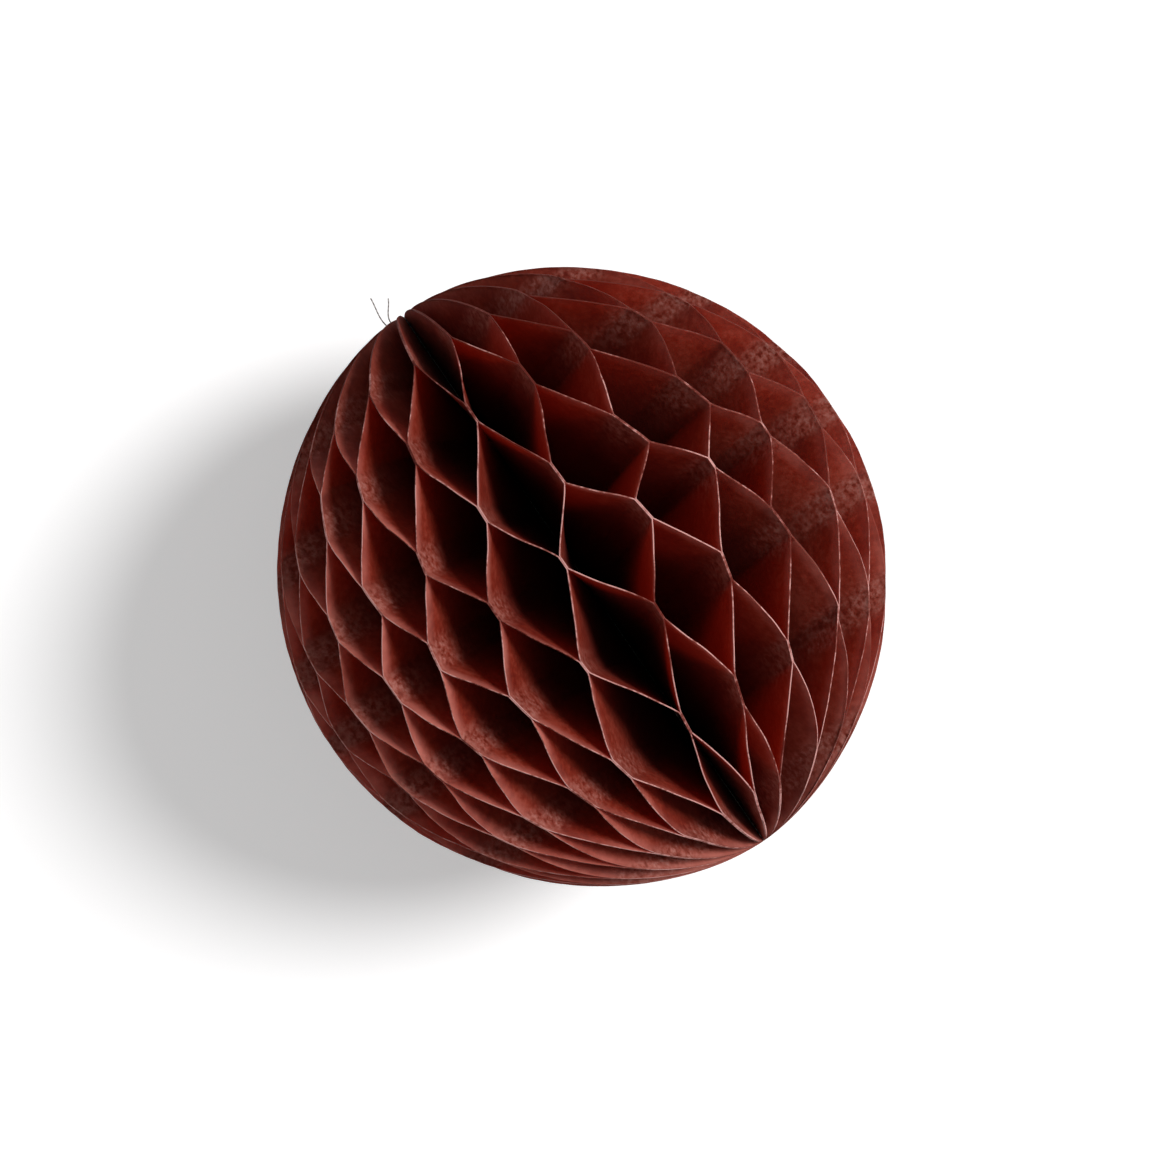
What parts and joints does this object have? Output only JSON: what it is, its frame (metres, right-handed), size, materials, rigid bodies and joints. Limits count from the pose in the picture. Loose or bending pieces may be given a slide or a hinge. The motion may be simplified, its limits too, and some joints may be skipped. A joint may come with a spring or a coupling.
{
  "type": "honeycomb tissue paper ball",
  "caption": "Round hanging decoration of tissue paper leaves glued in level bands to a honeycomb of cells, opened like a fan about a stitched spine.",
  "frame": {"origin": "middle of the spine, which is the centre of the open ball", "axes": "+Z along the spine, towards the pole where the thread is tied; -Y towards the side that the picture shows"},
  "size_m": [0.0991, 0.0989, 0.1048],
  "materials": {
    "tissue": "matte dyed tissue",
    "thread": "matte grey cotton thread"
  },
  "bodies": {
    "root": {"leaf_01": "tissue", "leaf_02": "tissue", "leaf_03": "tissue", "leaf_04": "tissue", "leaf_05": "tissue", "leaf_06": "tissue", "leaf_07": "tissue", "leaf_08": "tissue", "leaf_09": "tissue", "leaf_10": "tissue", "leaf_11": "tissue", "leaf_12": "tissue", "leaf_13": "tissue", "leaf_14": "tissue", "leaf_15": "tissue", "leaf_16": "tissue", "leaf_17": "tissue", "leaf_18": "tissue", "leaf_19": "tissue", "leaf_20": "tissue", "leaf_21": "tissue", "leaf_22": "tissue", "leaf_23": "tissue", "leaf_24": "tissue", "leaf_25": "tissue", "leaf_26": "tissue", "leaf_27": "tissue", "leaf_28": "tissue", "leaf_29": "tissue", "leaf_30": "tissue", "leaf_31": "tissue", "leaf_32": "tissue", "leaf_33": "tissue", "leaf_34": "tissue", "leaf_35": "tissue", "leaf_36": "tissue", "leaf_37": "tissue", "leaf_38": "tissue", "leaf_39": "tissue", "leaf_40": "tissue", "leaf_41": "tissue", "leaf_42": "tissue", "leaf_43": "tissue", "leaf_44": "tissue", "leaf_45": "tissue", "leaf_46": "tissue", "leaf_47": "tissue", "leaf_48": "tissue", "leaf_49": "tissue", "leaf_50": "tissue", "spine_binding": "thread"}
  },
  "joints": []
}
